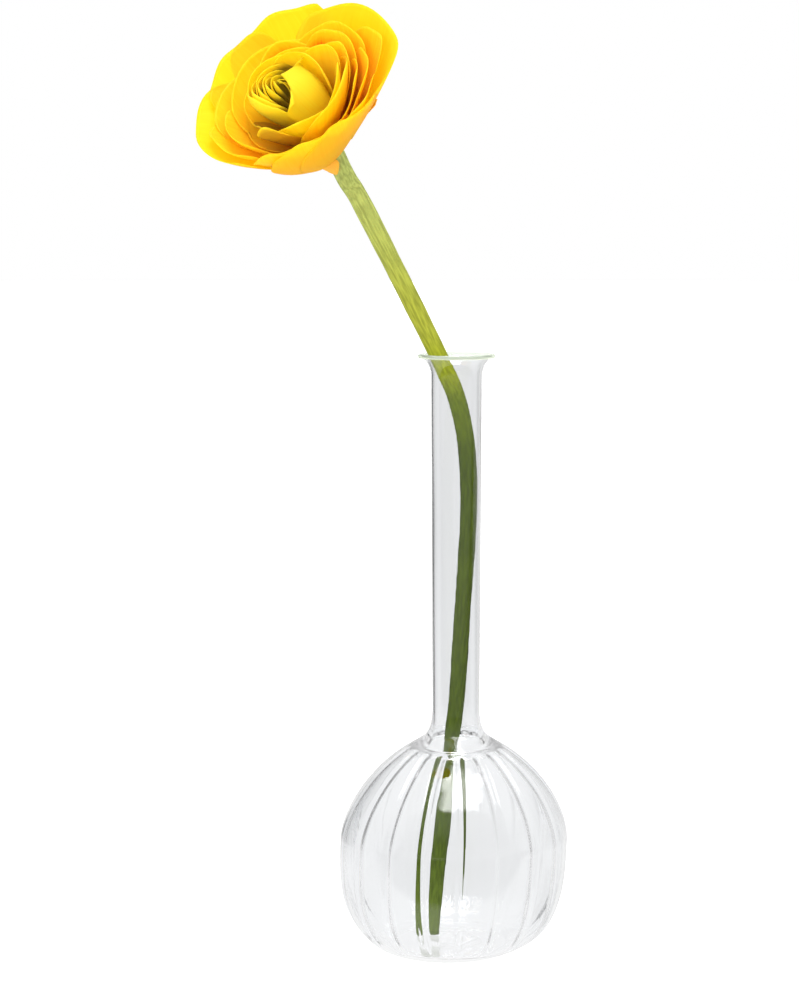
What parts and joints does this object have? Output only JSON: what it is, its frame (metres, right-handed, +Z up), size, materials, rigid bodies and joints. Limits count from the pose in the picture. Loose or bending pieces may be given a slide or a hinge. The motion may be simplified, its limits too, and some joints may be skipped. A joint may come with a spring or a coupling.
{
  "type": "bud vase",
  "caption": "Clear glass bud vase with a ribbed round bulb, tall slim neck and flared lip, holding one removable cut flower.",
  "frame": {"origin": "centre of the vase's foot, on the table it stands on", "axes": "+Z up the neck's axis, -Y towards the side the flower faces, -X towards the side the flower leans"},
  "size_m": [0.123, 0.0911, 0.3137],
  "materials": {
    "clear_glass": "clear blown glass, smooth and glossy, faint grey-blue tint",
    "stem_green": null,
    "petal_yellow": null,
    "sepal_orange": "matt orange-yellow sepals",
    "carpel_brown": "matt dark brown seed button"
  },
  "bodies": {
    "vase": {"vase_body": "clear_glass"},
    "flower": {"stem": "stem_green", "receptacle": "stem_green", "carpels": "carpel_brown", "sepal_1": "sepal_orange", "sepal_2": "sepal_orange", "sepal_3": "sepal_orange", "sepal_4": "sepal_orange", "sepal_5": "sepal_orange", "petal_01": "petal_yellow", "petal_02": "petal_yellow", "petal_03": "petal_yellow", "petal_04": "petal_yellow", "petal_05": "petal_yellow", "petal_06": "petal_yellow", "petal_07": "petal_yellow", "petal_08": "petal_yellow", "petal_09": "petal_yellow", "petal_10": "petal_yellow", "petal_11": "petal_yellow", "petal_12": "petal_yellow", "petal_13": "petal_yellow", "petal_14": "petal_yellow", "petal_15": "petal_yellow", "petal_16": "petal_yellow", "petal_17": "petal_yellow", "petal_18": "petal_yellow", "petal_19": "petal_yellow", "petal_20": "petal_yellow", "petal_21": "petal_yellow", "petal_22": "petal_yellow", "petal_23": "petal_yellow", "petal_24": "petal_yellow", "petal_25": "petal_yellow", "petal_26": "petal_yellow", "petal_27": "petal_yellow", "petal_28": "petal_yellow", "petal_29": "petal_yellow", "petal_30": "petal_yellow", "petal_31": "petal_yellow", "petal_32": "petal_yellow", "petal_33": "petal_yellow", "petal_34": "petal_yellow", "petal_35": "petal_yellow", "petal_36": "petal_yellow", "petal_37": "petal_yellow", "petal_38": "petal_yellow", "petal_39": "petal_yellow", "petal_40": "petal_yellow", "petal_41": "petal_yellow", "petal_42": "petal_yellow", "petal_43": "petal_yellow", "petal_44": "petal_yellow", "petal_45": "petal_yellow", "petal_46": "petal_yellow"}
  },
  "joints": [
    {"name": "flower_lift", "type": "slide", "parent": "vase", "child": "flower", "axis": [0, 0, 1], "range_m": [0, 0.205], "deforming": ["stem"]}
  ]
}
